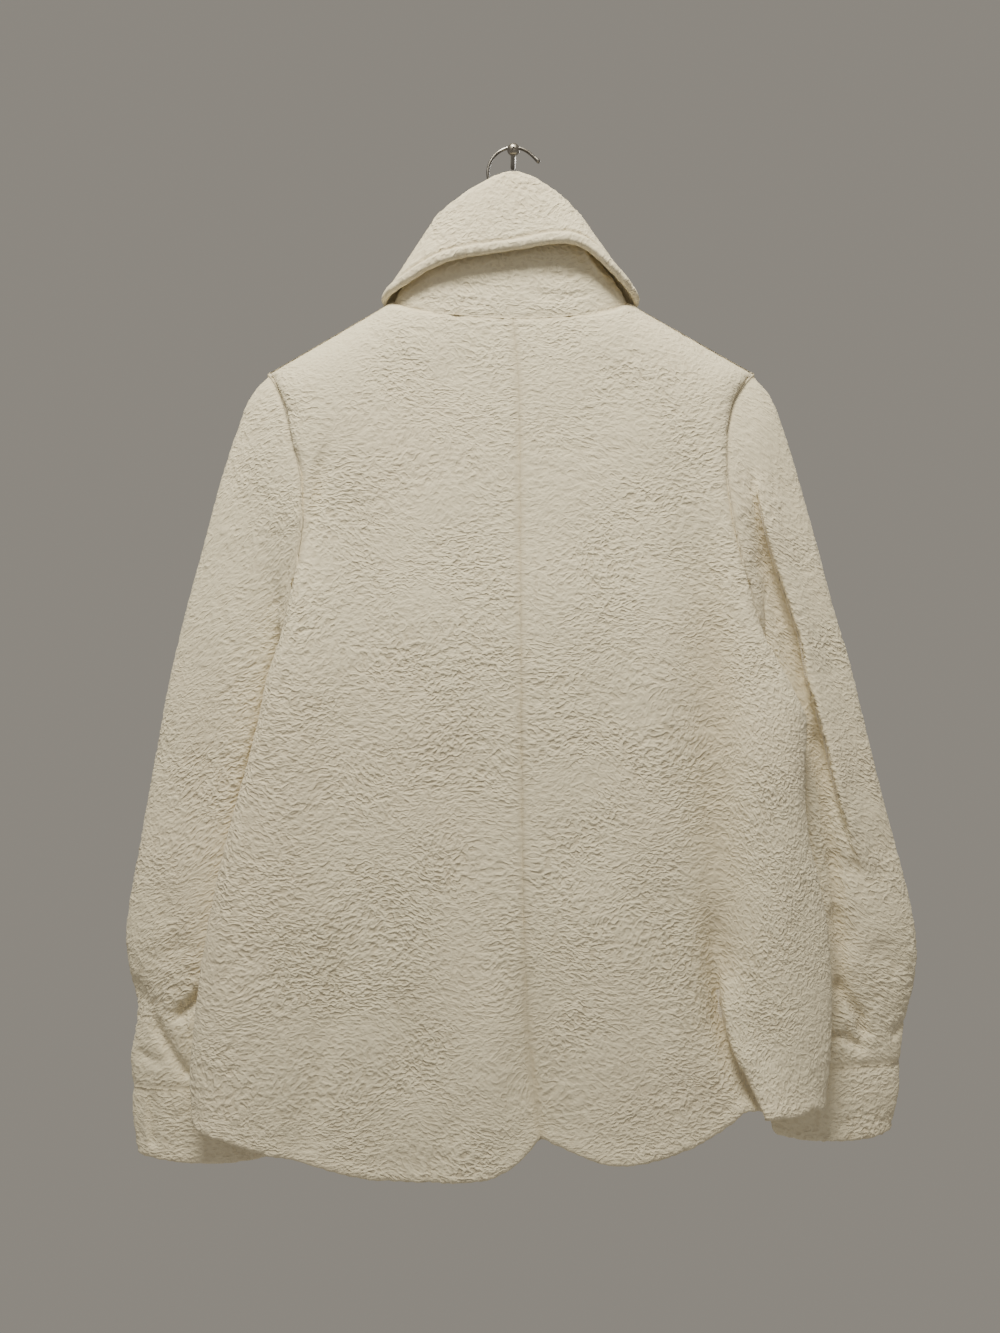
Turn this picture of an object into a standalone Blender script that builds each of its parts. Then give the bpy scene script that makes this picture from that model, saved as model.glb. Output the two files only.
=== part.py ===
"""Sherpa jacket on a hanger, hung from a wall screw by the hanger's hook.

Metres in Blender, millimetres in every table and formula below. The wall is the plane y = 0 and
the jacket's back faces -Y. The origin is on the wall, at the centre of the screw. The wearer's
left is at -X. Each piece of cloth is one wall of even thickness, placed by a formula of two
numbers: u across the piece and v down it, both from 0 to 1.
"""
from bisect import bisect_right
from collections import namedtuple
from math import copysign, cos, hypot, pi, radians, sin, sqrt

import bmesh
import bpy
from mathutils import Vector

MM = 0.001

# ---- driving dimensions, in millimetres ------------------------------------------------------
CLOTH = 4.0                # sherpa, with its pile pressed down
SEAM_GAP = 0.3             # between sewn pieces
LEFT, RIGHT = -1, 1        # sides of the wearer, as the sign of x

HANGER_Y = -27.0           # plane of the hanger and of its hook
HANGER_SEAT = 0.9          # between the hanger's arm and the shoulder it carries
ARM_TALL, ARM_DEEP = 14.0, 8.0
ARM_REACH, ARM_END = 186.0, 0.6         # half the hanger's width, and how far its ends narrow
ARM_STOPS, ARM_SIDES = 28, 8
HUB_Z = -112.0             # middle of the hanger, where the two arms meet
HOOK_RADIUS, HOOK_WIRE = 22.0, 1.45
SHAFT_RADIUS, SHAFT_SIDES = 2.2, 16
HEAD_RADIUS, HEAD_BACK_Y, HEAD_TALL = 5.4, -30.0, 4.6
HEAD_STEPS = 4             # rings of the screw's round head

RIDGE_Y = -26.0            # shoulder seam, half way between front and back
SHOULDER_OUT = Vector((0.5, 0.0, 0.87)).normalized()    # square to the right shoulder seam
NECK_SHARE = 1 / 3         # share of a panel's columns that end in the neck seam
BACK_ROUND, FRONT_ROUND = 44.0, 13.0   # how far down the cloth rounds over the shoulder
SIDE_ROUND = 17.0          # how far in the cloth rounds over the side
UNDERARM_Z = -410.0
UNDERARM_Y = -46.0
ARMHOLE_DEEP = 19.0        # half the armhole's depth, from front to back
ARMHOLE_SHARE = 9 / 20     # share of a panel's rows that lie beside the armhole
FRONT_Y = -10.5            # front panels, near the wall
LAP, LAP_STEP, LAP_FADE, LAP_DROP = 12.0, 3.6, 40.0, 3.0   # overlap at the centre front
TUCK_IN, TUCK_OUT = 126.0, 160.0   # the front steps forward here, over the sleeve behind it

PANEL_COLUMNS, PANEL_ROWS = 15, 20
SLEEVE_SIDES = 18
COLLAR_COLUMNS, STAND_ROWS, FALL_ROWS, TURN_ROWS = 38, 5, 8, 3
COLLAR_END = 171.0         # degrees round the neck from the centre back
NECK_STEP = 18.0           # degrees between the corners of the neck seam
ROLL_RADIUS = 5.2          # the fall's turn over the top of the stand
ROLL_GAP = 1.1             # below the roll, where the turn is sharp

# ---- tables, in millimetres -------------------------------------------------------------------
# Edge of the body, seen from behind: the armhole seam, then the side.
Side = namedtuple("Side", "z left right")
SIDES = [
    Side(-189, -209, 205), Side(-199, -201, 195), Side(-213, -194, 185), Side(-241, -186, 178),
    Side(-269, -178, 176), Side(-302, -174, 178), Side(-335, -176, 185), Side(-370, -182, 193),
    Side(-410, -192, 206), Side(-445, -203, 224), Side(-476, -209, 241), Side(-504, -215, 241),
    Side(-541, -226, 239), Side(-595, -240, 245), Side(-618, -245, 252), Side(-660, -253, 259),
    Side(-707, -260, 261), Side(-759, -265, 260), Side(-795, -267, 256), Side(-812, -263, 250),
]
CORNER_Z = {LEFT: -811.0, RIGHT: -801.0}

# Centre back seam.
Centre = namedtuple("Centre", "z x")
CENTRE_SEAM = [
    Centre(-149, -1), Centre(-225, 1), Centre(-290, 4), Centre(-466, 5), Centre(-588, 6),
    Centre(-700, 8), Centre(-775, 12), Centre(-824, 22),
]

# Lower edge of the back, with a notch at the centre seam.
Hem = namedtuple("Hem", "x z")
BACK_HEM = [
    Hem(-263, -811), Hem(-252, -815), Hem(-237, -818), Hem(-218, -824), Hem(-204, -832),
    Hem(-187, -836), Hem(-171, -839), Hem(-156, -843), Hem(-140, -850), Hem(-122, -855),
    Hem(-88, -857), Hem(-46, -855), Hem(-11, -850), Hem(3, -842), Hem(14, -830), Hem(23, -824),
    Hem(40, -827), Hem(56, -835), Hem(70, -840), Hem(93, -841), Hem(119, -837), Hem(152, -826),
    Hem(175, -817), Hem(198, -808), Hem(222, -805), Hem(240, -803), Hem(250, -801),
]
FRONT_HEM_DIP = 26.0       # how much lower the front's hem is at the centre than at the side

# Depth of the back, of the side edge, and of the front where it is tucked over the sleeve.
Depth = namedtuple("Depth", "z back side tuck")
DEPTHS = [
    Depth(-140, -51, -28, -10.5), Depth(-220, -53, -34, -10.5), Depth(-340, -58, -40, -10.5),
    Depth(-380, -62, -43, -28), Depth(-412, -64, -47, -39), Depth(-450, -66, -56, -48),
    Depth(-560, -68, -58, -49), Depth(-700, -71, -60, -50), Depth(-860, -73, -61, -51),
]

# Largest folds of the back. A fold runs from its top to its bottom; push is towards the wall.
Fold = namedtuple("Fold", "top_x top_z bottom_x bottom_z wide push")
BACK_FOLDS = [
    Fold(140, -225, 176, -830, 20, 9), Fold(204, -400, 222, -830, 24, -9),
    Fold(-140, -230, -96, -860, 34, 5), Fold(-168, -300, -228, -830, 30, -7),
    Fold(14, -690, 23, -860, 13, 8), Fold(-16, -700, -26, -860, 24, -5),
    Fold(60, -560, 84, -860, 30, -4),
]
FRONT_FOLDS = [
    Fold(-70, -300, -88, -850, 26, -4), Fold(64, -260, 92, -850, 30, -5),
]

# Collar, by degrees from the centre back towards the wearer's right: the neck seam, the top of
# the stand, where the collar rolls over, and the fall's free edge.
Collar = namedtuple(
    "Collar", "turn neck_x neck_y neck_z roll_x roll_y roll_z edge_x edge_y edge_z")
COLLAR = [
    Collar(-180, 0, -12.5, -200, 0, -12, -112, 0, -4.5, -172),
    Collar(-160, -38, -12.5, -190, -28, -12, -104, -44, -4.5, -166),
    Collar(-126, -86, -13.5, -156, -54, -14.5, -83, -91, -5, -150),
    Collar(-108, -99, -16, -139, -61, -19, -73, -108, -10, -130),
    Collar(-90, -104, -27, -128, -64, -29, -64, -112, -29, -126),
    Collar(-60, -91, -40, -137, -55, -38, -57, -95, -46, -119),
    Collar(-30, -53, -48, -145, -33, -43, -43, -55, -56, -102),
    Collar(0, -1, -50, -149, 0, -45, -30, -2, -59, -95),
    Collar(30, 52, -48, -146, 32, -43, -44, 50, -58, -88),
    Collar(60, 89, -40, -137, 53, -38, -62, 86, -51, -111),
    Collar(90, 99, -27, -129, 60, -29, -73, 107, -30, -127),
    Collar(108, 94, -16, -140, 58, -19, -80, 103, -10, -131),
    Collar(126, 84, -13.5, -156, 52, -14.5, -87, 87, -5, -149),
    Collar(160, 38, -12.5, -190, 28, -12, -104, 44, -4.5, -166),
    Collar(180, 0, -12.5, -200, 0, -12, -112, 0, -4.5, -172),
]

# Sleeves below the armhole: the outer edge, the inner edge behind the body, half the depth from
# front to back, and how far the ring bows towards the body.
Ring = namedtuple("Ring", "outer_x outer_z inner_x inner_z inner_y deep bow")
SLEEVE_RINGS = {
    LEFT: [
        Ring(-222, -200, -198, -426, -31, 19.0, 13), Ring(-236, -232, -196, -446, -27, 18.0, 9),
        Ring(-251, -280, -191, -470, -25, 18.0, 5), Ring(-265, -332, -184, -496, -25, 18.0, 3),
        Ring(-280, -388, -178, -525, -25, 18.0, 0), Ring(-294, -444, -171, -558, -25, 18.0, 0),
        Ring(-305, -504, -170, -594, -25, 18.0, 0), Ring(-316, -566, -172, -632, -25, 18.0, 0),
        Ring(-328, -630, -176, -668, -25, 18.0, 0), Ring(-333, -668, -181, -700, -25, 17.5, 0),
        Ring(-329, -699, -187, -725, -25, 16.5, 0), Ring(-321, -727, -192, -748, -25, 15.5, 0),
        Ring(-324, -752, -196, -766, -25, 15.0, 0), Ring(-329, -772, -199, -781, -25, 14.5, 0),
        Ring(-326, -796, -203, -796, -25, 13.0, 0),
    ],
    RIGHT: [
        Ring(220, -203, 215, -427, -31, 19.0, 13), Ring(233, -240, 210, -447, -27, 18.0, 9),
        Ring(246, -284, 206, -472, -25, 18.0, 5), Ring(260, -334, 201, -499, -25, 18.0, 3),
        Ring(273, -385, 196, -529, -25, 18.0, 0), Ring(288, -432, 191, -560, -25, 18.0, 0),
        Ring(302, -490, 190, -595, -25, 18.0, 0), Ring(316, -548, 190, -630, -25, 18.0, 0),
        Ring(331, -602, 192, -662, -25, 18.0, 0), Ring(343, -650, 194, -690, -25, 17.5, 0),
        Ring(347, -682, 196, -712, -25, 16.5, 0), Ring(343, -712, 199, -732, -25, 15.5, 0),
        Ring(335, -741, 203, -750, -25, 15.0, 0), Ring(333, -758, 207, -764, -25, 14.5, 0),
        Ring(331, -776, 214, -778, -25, 13.0, 0),
    ],
}
CUFF_RINGS = {
    LEFT: [Ring(-327, -820, -204, -824, -25, 13.0, 0), Ring(-321, -852, -208, -855, -25, 12.0, 0)],
    RIGHT: [Ring(331, -802, 216, -806, -25, 13.0, 0), Ring(322, -834, 222, -836, -25, 12.0, 0)],
}
CUFF_BELLY = 4.0           # how far the cuff's edges sag at the middle

# Hook: its stem from the hanger up to the arc, and its tip after the arc.
Stop = namedtuple("Stop", "x z")
HOOK_STEM = [Stop(0, -104.6), Stop(0, -80), Stop(0, -62), Stop(-1, -54), Stop(-5, -46),
             Stop(-11, -39.5)]
HOOK_TIP = [Stop(18.6, -5.4), Stop(21.0, -7.8), Stop(22.6, -9.0)]
HOOK_ARC_START, HOOK_ARC_END, HOOK_ARC_STEPS = 222.0, 48.0, 14
TIP_SWELL = 1.5

# Colours and finish: name, base colour, roughness, metallic.
Finish = namedtuple("Finish", "name colour rough metal")
SHERPA = Finish("sherpa", (0.80, 0.745, 0.63, 1.0), 0.95, 0.0)
HANGER = Finish("hanger_plastic", (0.05, 0.05, 0.055, 1.0), 0.45, 0.0)
STEEL = Finish("steel_wire", (0.55, 0.54, 0.52, 1.0), 0.3, 1.0)


# ---- helpers ----------------------------------------------------------------------------------
def blend(start, end, share):
    return start + (end - start) * share


def ease(share):
    """0 to 1 with a level start and end."""
    share = min(max(share, 0.0), 1.0)
    return share * share * (3 - 2 * share)


def bulge(share):
    """Quarter circle: steep at 0, level at 1."""
    share = min(max(share, 0.0), 1.0)
    return sqrt(1 - (1 - share) ** 2)


def along(rows, key, column, at):
    """Value of a table's column at a key, on a smooth curve through the rows."""
    points = sorted((getattr(row, key), getattr(row, column)) for row in rows)
    keys = [point[0] for point in points]
    values = [point[1] for point in points]
    at = min(max(at, keys[0]), keys[-1])
    low = min(bisect_right(keys, at) - 1, len(keys) - 2)

    def slope(i):
        before, after = max(i - 1, 0), min(i + 1, len(keys) - 1)
        return (values[after] - values[before]) / (keys[after] - keys[before])

    span = keys[low + 1] - keys[low]
    t = (at - keys[low]) / span
    return (values[low] * (1 + 2 * t) * (1 - t) ** 2 + values[low + 1] * t * t * (3 - 2 * t)
            + span * (slope(low) * t * (1 - t) ** 2 - slope(low + 1) * t * t * (1 - t)))


def material(finish):
    """The material of that finish, made once."""
    found = bpy.data.materials.get(finish.name)
    if found:
        return found
    made = bpy.data.materials.new(finish.name)
    made.use_nodes = True
    shader = made.node_tree.nodes["Principled BSDF"]
    shader.inputs["Base Color"].default_value = finish.colour
    shader.inputs["Roughness"].default_value = finish.rough
    shader.inputs["Metallic"].default_value = finish.metal
    made.diffuse_color = finish.colour
    return made


def add_object(name, data, finish):
    data.materials.append(material(finish))
    made = bpy.data.objects.new(name, data)
    bpy.context.scene.collection.objects.link(made)
    return made


def add_mesh(name, bm, finish):
    """Write a bmesh, drawn in millimetres, as a smooth-shaded object in metres."""
    bmesh.ops.scale(bm, verts=bm.verts, vec=(MM, MM, MM))
    bmesh.ops.recalc_face_normals(bm, faces=bm.faces)
    mesh = bpy.data.meshes.new(name)
    bm.to_mesh(mesh)
    bm.free()
    mesh.shade_smooth()
    mesh.set_sharp_from_angle(angle=radians(50))
    return add_object(name, mesh, finish)


def facing(surface, u, v):
    """Unit vector square to a surface of u and v, by small steps."""
    step = 0.004
    across = surface(min(u + step, 1), v) - surface(max(u - step, 0), v)
    down = surface(u, min(v + step, 1)) - surface(u, max(v - step, 0))
    return across.cross(down).normalized()


def cloth_sheet(name, columns, rows, outer_and_out):
    """Wall of cloth: a flat grid, extruded one layer, then each corner put in its place."""
    bm = bmesh.new()
    bmesh.ops.create_grid(bm, x_segments=columns, y_segments=rows, size=0.5)
    raised = bmesh.ops.extrude_face_region(bm, geom=bm.faces[:])["geom"]
    inner = [item for item in raised if isinstance(item, bmesh.types.BMVert)]
    bmesh.ops.translate(bm, verts=inner, vec=(0, 0, 1))
    for corner in bm.verts:
        u = round((corner.co.x + 0.5) * columns) / columns
        v = round((corner.co.y + 0.5) * rows) / rows
        outer, out = outer_and_out(u, v)
        corner.co = outer - out * CLOTH * round(corner.co.z)
    return add_mesh(name, bm, SHERPA)


def cloth_tube(name, sides, rows, outer_and_out):
    """Open-ended tube of cloth: a wall's outline, spun round, then put in its place."""
    bm = bmesh.new()
    outline = [bm.verts.new((2, 0, row)) for row in range(rows + 1)]
    outline += [bm.verts.new((1, 0, row)) for row in range(rows, -1, -1)]
    edges = [bm.edges.new((one, outline[i - 1])) for i, one in enumerate(outline)]
    bmesh.ops.spin(bm, geom=outline + edges, cent=(0, 0, 0), axis=(0, 0, 1), angle=2 * pi,
                   steps=sides, use_merge=True)
    bmesh.ops.remove_doubles(bm, verts=bm.verts, dist=0.01)
    for corner in bm.verts:
        flat = corner.co.copy()
        side = round(Vector((1, 0)).angle_signed(Vector((flat.x, flat.y))) / (2 * pi) * -sides)
        layer = 2 - round(hypot(flat.x, flat.y))
        outer, out = outer_and_out(side % sides / sides, round(flat.z) / rows)
        corner.co = outer - out * CLOTH * layer
    return add_mesh(name, bm, SHERPA)


# ---- seams that two or more pieces share ------------------------------------------------------
def collar_point(part, turn):
    """Point of the neck seam, the roll or the free edge, at an angle round the neck."""
    return Vector([along(COLLAR, "turn", part + "_" + axis, turn) for axis in "xyz"])


def neck_seam(turn):
    """The neck seam, straight between corners that the panels and the collar share."""
    low = NECK_STEP * int(turn // NECK_STEP)
    start, end = collar_point("neck", low), collar_point("neck", low + NECK_STEP)
    return start.lerp(end, (turn - low) / NECK_STEP)


def side_x(side, z):
    return along(SIDES, "z", "left" if side == LEFT else "right", z)


def shoulder_tip(side):
    return Vector((side_x(side, SIDES[0].z), RIDGE_Y, SIDES[0].z))


def armhole(side, turn):
    """Armhole seam: half a turn down its back (to pi), and the rest up its front."""
    drop = (1 - cos(turn)) / 2
    z = blend(SIDES[0].z, UNDERARM_Z, drop)
    y = blend(RIDGE_Y, UNDERARM_Y, drop) - ARMHOLE_DEEP * sin(turn)
    return Vector((side_x(side, z), y, z))


def armhole_out(turn):
    across = sin(turn)
    square = copysign(abs(across) ** 0.35, across)
    return Vector((0, -square, cos(turn) ** 3)).normalized()


# ---- panels of the body -----------------------------------------------------------------------
def fold_push(folds, x, z):
    """How far the folds push a point, each fading in over its top quarter."""
    total = 0.0
    for fold in folds:
        share = (z - fold.top_z) / (fold.bottom_z - fold.top_z)
        centre = blend(fold.top_x, fold.bottom_x, share)
        near = max(0.0, 1 - ((x - centre) / (1.6 * fold.wide)) ** 2) ** 2
        total += fold.push * near * ease(share * 3)
    return total


def side_height(side, v):
    """Height of a panel's side edge: the armhole's rows, then even rows down to the hem."""
    if v <= ARMHOLE_SHARE:
        return armhole(side, pi * v / ARMHOLE_SHARE).z
    return blend(UNDERARM_Z, CORNER_Z[side], (v - ARMHOLE_SHARE) / (1 - ARMHOLE_SHARE))


def side_depth(side, v, face):
    """Depth of a panel's side edge; face is 1 for the back and -1 for the front."""
    if v <= ARMHOLE_SHARE:
        return armhole(side, face * pi * v / ARMHOLE_SHARE).y
    return along(DEPTHS, "z", "side", side_height(side, v))


def spread_of(u):
    """Share of a panel's width at u: the columns crowd towards its side edge."""
    return sin(pi / 2 * u)


def top_edge(side, u, neck_turn):
    """Neck seam over the first columns of a panel, then the shoulder seam."""
    neck_point = neck_seam(90 * side)
    if u <= NECK_SHARE:
        return neck_seam(blend(neck_turn, 90, u / NECK_SHARE) * side)
    share = (spread_of(u) - spread_of(NECK_SHARE)) / (1 - spread_of(NECK_SHARE))
    along_shoulder = neck_point.lerp(shoulder_tip(side), share)
    along_shoulder.y = blend(neck_point.y, RIDGE_Y, ease(share * 4))
    return along_shoulder


def front_depth(side, x, z):
    """Outer face of a front: near the wall, lapped at the centre, and forward of the sleeve."""
    lap = side * LAP_STEP * (1 - ease((abs(x) - LAP) / (LAP_FADE - LAP)))
    tuck = ease((abs(x) - TUCK_IN) / (TUCK_OUT - TUCK_IN))
    free = FRONT_Y + lap - fold_push(FRONT_FOLDS, x, z)
    return blend(free, along(DEPTHS, "z", "tuck", z), tuck)


def back_depth(side, x, z):
    return along(DEPTHS, "z", "back", z) + fold_push(BACK_FOLDS, x, z)


def back_centre(side, v):
    return along(CENTRE_SEAM, "z", "x", blend(CENTRE_SEAM[0].z, CENTRE_SEAM[-1].z, v))


def front_centre(side, v):
    return -side * LAP


def back_hem(side, x):
    return along(BACK_HEM, "x", "z", x)


def front_hem(side, x):
    share = x / side_x(side, CORNER_Z[side])
    return CORNER_Z[side] - FRONT_HEM_DIP * (1 - min(abs(share), 1) ** 2)


def panel_point(side, u, v, face):
    """Outer face of a body panel: u from the centre to the side, v from the top to the hem."""
    depth, centre, hem, neck_turn, shoulder_round = PANEL_RULES[face]
    top = top_edge(side, u, neck_turn)
    if face == -1:
        lapped = max(0.0, 1 - u * PANEL_COLUMNS)
        top += Vector((-side * LAP, side * LAP_STEP, -LAP_DROP)) * lapped
    edge_z = side_height(side, v)
    edge_x = side_x(side, edge_z)
    spread = spread_of(u)
    top_spread = (top.x - centre(side, 0)) / (shoulder_tip(side).x - centre(side, 0))
    x = blend(centre(side, v), edge_x, blend(top_spread, spread, ease(v / 0.2)))
    hem_x = blend(centre(side, 1), side_x(side, CORNER_Z[side]), spread)
    side_share = (edge_z - SIDES[0].z) / (CORNER_Z[side] - SIDES[0].z)
    z = blend(top.z, hem(side, hem_x), blend(v ** 1.6, side_share, spread ** 2))
    y = blend(top.y, depth(side, x, z), bulge((top.z - z) / shoulder_round))
    y = blend(side_depth(side, v, face), y, bulge(abs(edge_x - x) / SIDE_ROUND))
    return Vector((x, y, z))


PANEL_RULES = {
    1: (back_depth, back_centre, back_hem, 0.0, BACK_ROUND),
    -1: (front_depth, front_centre, front_hem, 180.0, FRONT_ROUND),
}


def panel(name, side, face):
    """One body panel, drawn back from its neighbours by half a seam gap."""
    half_gap = SEAM_GAP / 2

    def surface(u, v):
        return panel_point(side, u, v, face)

    def outer_and_out(u, v):
        outer = surface(u, v)
        out = facing(surface, u, v) * side * -face
        if v == 0 and u <= NECK_SHARE:
            around = radians(blend(PANEL_RULES[face][3], 90, u / NECK_SHARE))
            out = Vector((side * sin(around), -cos(around), 0.0))
            outer.z -= half_gap
        if v == 0 and u >= NECK_SHARE:
            out = Vector((side * SHOULDER_OUT.x, 0, SHOULDER_OUT.z))
            outer.y -= half_gap * face
        if u == 1 and v <= ARMHOLE_SHARE:
            out = armhole_out(face * pi * v / ARMHOLE_SHARE)
            outer.x -= half_gap * side
        if u == 1 and v >= ARMHOLE_SHARE:
            out = Vector((side, 0, 0))
            outer.y -= half_gap * face
        if u == 0 and face == 1:
            out = Vector((0, -1, 0))
            outer.x += half_gap * side
        return outer, out

    return cloth_sheet(name, PANEL_COLUMNS, PANEL_ROWS, outer_and_out)


# ---- sleeves and cuffs ------------------------------------------------------------------------
def ring_point(ring, turn, belly=0.0):
    """Point of a sleeve's or cuff's ring; turn is 0 at its outer edge, a quarter at its back."""
    outer = Vector((ring.outer_x, RIDGE_Y + 1.0, ring.outer_z))
    inner = Vector((ring.inner_x, ring.inner_y, ring.inner_z))
    point = inner.lerp(outer, (1 + cos(turn)) / 2)
    across = sin(turn)
    towards_body = -1 if ring.outer_x > 0 else 1
    point.x += towards_body * ring.bow * across * across
    point.y -= ring.deep * across
    point.z -= belly * across * across
    return point


def rings_surface(rings, first, belly=0.0):
    """Surface from a first ring, given as a function of the turn, through a list of rings."""
    def ring_at(row, turn):
        return first(turn) if row == 0 else ring_point(rings[row - 1], turn, belly)

    last = len(rings)

    def surface(u, v):
        turn = 2 * pi * u
        row = min(int(v * last), last - 1)
        share = v * last - row
        if share == 0:
            return ring_at(row, turn)
        return ring_at(row, turn).lerp(ring_at(row + 1, turn), share)

    return surface, last


def tube_out(surface, side, u, v):
    step = 0.01
    across = surface((u + step) % 1, v) - surface((u - step) % 1, v)
    down = surface(u, min(v + step, 1)) - surface(u, max(v - step, 0))
    return across.cross(down).normalized() * side


def sleeve(name, side):
    rings = SLEEVE_RINGS[side]
    surface, rows = rings_surface(rings, lambda turn: armhole(side, turn))

    def outer_and_out(u, v):
        outer = surface(u, v)
        if v == 0:
            outer.x += SEAM_GAP / 2 * side
            return outer, armhole_out(2 * pi * u)
        if v == 1:
            outer.z += SEAM_GAP / 2
            return outer, Vector((side * cos(2 * pi * u), -sin(2 * pi * u), 0))
        return outer, tube_out(surface, side, u, v)

    return cloth_tube(name, SLEEVE_SIDES, rows, outer_and_out)


def cuff(name, side):
    seam = SLEEVE_RINGS[side][-1]
    surface, rows = rings_surface(CUFF_RINGS[side], lambda turn: ring_point(seam, turn),
                                  CUFF_BELLY)

    def outer_and_out(u, v):
        outer = surface(u, v)
        outer.z -= SEAM_GAP / 2
        return outer, Vector((side * cos(2 * pi * u), -sin(2 * pi * u), 0))

    return cloth_tube(name, SLEEVE_SIDES, rows, outer_and_out)


# ---- collar -----------------------------------------------------------------------------------
def collar_turn(u):
    return blend(-COLLAR_END, COLLAR_END, u)


def collar_out(turn):
    """Level direction away from the neck at an angle round it."""
    step = 2.0
    run = collar_point("roll", turn + step) - collar_point("roll", turn - step)
    return Vector((run.y, -run.x, 0)).normalized()


def stand_point(u, v):
    """Outer face of the stand, from the neck seam at v = 0 up to the roll."""
    turn = collar_turn(u)
    return neck_seam(turn).lerp(collar_point("roll", turn), v)


def fall_point(u, v):
    """Upper face of the fall: it turns over the stand's top, then runs down to its free edge."""
    turn = collar_turn(u)
    out = collar_out(turn)
    roll = collar_point("roll", turn)
    centre = roll + out * (ROLL_RADIUS - CLOTH)
    turn_share = TURN_ROWS / FALL_ROWS
    if v <= turn_share:
        angle = pi * v / turn_share
        return centre - out * ROLL_RADIUS * cos(angle) + Vector((0, 0, ROLL_RADIUS * sin(angle)))
    start = centre + out * ROLL_RADIUS
    edge = collar_point("edge", turn)
    return start.lerp(edge, (v - turn_share) / (1 - turn_share))


def collar_stand():
    def outer_and_out(u, v):
        outer = stand_point(u, v)
        if v == 0:
            around = radians(collar_turn(u))
            outer.z += SEAM_GAP / 2
            return outer, Vector((sin(around), -cos(around), 0))
        if v == 1:
            outer.z -= ROLL_GAP
        return outer, collar_out(collar_turn(u))

    return cloth_sheet("collar_stand", COLLAR_COLUMNS, STAND_ROWS, outer_and_out)


def collar_fall():
    def outer_and_out(u, v):
        if v == 0:
            return fall_point(u, v), -collar_out(collar_turn(u))
        return fall_point(u, v), facing(fall_point, u, v) * -1

    return cloth_sheet("collar_fall", COLLAR_COLUMNS, FALL_ROWS, outer_and_out)


# ---- hanger, hook and screw -------------------------------------------------------------------
def arm_height(x):
    """Middle of the hanger's arm: under the shoulder seam, then level towards the hub."""
    side = LEFT if x < 0 else RIGHT
    neck = neck_seam(90 * side)
    tip = shoulder_tip(side)
    share = (abs(x) - abs(neck.x)) / (abs(tip.x) - abs(neck.x))
    below_seam = HANGER_SEAT + (CLOTH + ARM_TALL / 2) / SHOULDER_OUT.z
    under_seam = blend(neck.z, tip.z, share) - below_seam
    rise = ease(1 - abs(x) / abs(neck.x))
    return blend(under_seam, HUB_Z, rise) if abs(x) < abs(neck.x) else under_seam


def hanger_body():
    """Both arms in one sweep of an eight-sided bar, with narrowed ends."""
    bm = bmesh.new()
    reach = 1 / cos(pi / ARM_SIDES)
    rings = []
    for stop in range(ARM_STOPS + 1):
        x = blend(-ARM_REACH, ARM_REACH, stop / ARM_STOPS)
        narrow = ARM_END if stop in (0, ARM_STOPS) else 1.0
        ring = []
        for i in range(ARM_SIDES):
            angle = 2 * pi * (i + 0.5) / ARM_SIDES
            ring.append(bm.verts.new((
                x, HANGER_Y + ARM_DEEP / 2 * narrow * reach * sin(angle),
                arm_height(x) + ARM_TALL / 2 * narrow * reach * cos(angle))))
        rings.append([bm.edges.new((ring[i], ring[i - 1])) for i in range(ARM_SIDES)])
    for one, following in zip(rings, rings[1:]):
        bmesh.ops.bridge_loops(bm, edges=one + following)
    bmesh.ops.holes_fill(bm, edges=bm.edges, sides=ARM_SIDES)
    return add_mesh("hanger_body", bm, HANGER)


def hook_route():
    """Stem, round arc over the screw, and the tip that turns out a little."""
    centre = Vector((0, HANGER_Y, SHAFT_RADIUS + SEAM_GAP + HOOK_WIRE - HOOK_RADIUS))
    route = [Vector((stop.x, HANGER_Y, stop.z)) for stop in HOOK_STEM]
    for step in range(HOOK_ARC_STEPS + 1):
        angle = radians(blend(HOOK_ARC_START, HOOK_ARC_END, step / HOOK_ARC_STEPS))
        route.append(centre + HOOK_RADIUS * Vector((cos(angle), 0, sin(angle))))
    route += [Vector((stop.x, HANGER_Y, stop.z)) for stop in HOOK_TIP]
    return route


def hanger_hook():
    data = bpy.data.curves.new("hanger_hook", "CURVE")
    data.dimensions = "3D"
    data.bevel_depth = HOOK_WIRE * MM
    data.bevel_resolution = 2
    data.use_fill_caps = True
    route = hook_route()
    spline = data.splines.new("POLY")
    spline.points.add(len(route) - 1)
    for point, place in zip(spline.points, route):
        point.co = (*(place * MM), 1)
    spline.points[-2].radius = TIP_SWELL
    return add_object("hanger_hook", data, STEEL)


def wall_screw():
    """Shaft and round head, turned about the Y axis; its back end lies on the wall."""
    bm = bmesh.new()
    profile = [(0, 0), (SHAFT_RADIUS, 0), (SHAFT_RADIUS, HEAD_BACK_Y)]
    for step in range(HEAD_STEPS + 1):
        angle = pi / 2 * step / HEAD_STEPS
        profile.append((HEAD_RADIUS * cos(angle), HEAD_BACK_Y - HEAD_TALL * sin(angle)))
    points = [bm.verts.new((radius, y, 0)) for radius, y in profile]
    edges = [bm.edges.new(pair) for pair in zip(points, points[1:])]
    bmesh.ops.spin(bm, geom=points + edges, cent=(0, 0, 0), axis=(0, 1, 0), angle=2 * pi,
                   steps=SHAFT_SIDES, use_merge=True)
    bmesh.ops.remove_doubles(bm, verts=bm.verts, dist=0.01)
    bmesh.ops.dissolve_limit(bm, angle_limit=radians(1), verts=bm.verts, edges=bm.edges)
    return add_mesh("wall_screw", bm, STEEL)


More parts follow.
